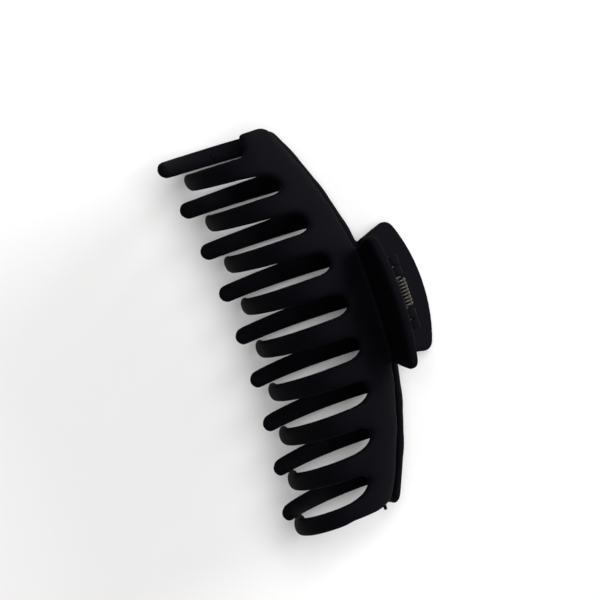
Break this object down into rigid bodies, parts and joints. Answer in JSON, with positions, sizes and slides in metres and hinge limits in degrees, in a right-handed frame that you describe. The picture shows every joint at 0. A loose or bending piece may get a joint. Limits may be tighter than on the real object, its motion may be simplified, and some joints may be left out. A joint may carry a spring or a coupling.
{
  "type": "claw clip",
  "caption": "Long hair claw clip: two curved toothed jaws with interlocking tips, half-round finger handles, a hinge pin and a torsion spring that holds it closed.",
  "frame": {"origin": "on the surface the clip lies on, under the middle of its outline", "axes": "+X along the hinge pin, +Y from the tooth tips to the finger handles, +Z from the rear jaw below to the front jaw above"},
  "size_m": [0.1298, 0.0642, 0.047],
  "materials": {
    "jaw_plastic": "soft-touch matte black",
    "pin_steel": "drawn wire, ends chamfered",
    "spring_steel": "dark grey drawn spring wire"
  },
  "bodies": {
    "rear": {"rear_jaw": "jaw_plastic", "hinge_pin": "pin_steel", "torsion_spring": "spring_steel"},
    "front": {"front_jaw": "jaw_plastic"}
  },
  "joints": [
    {"name": "jaw_hinge", "type": "hinge", "parent": "rear", "child": "front", "pos_m": [0, 0.02724, 0.0234], "axis": [-1, 0, 0], "range_deg": [0, 90], "stiffness_Nm_per_rad": 0.07, "springref_deg": -40.11, "deforming": ["torsion_spring"]}
  ]
}
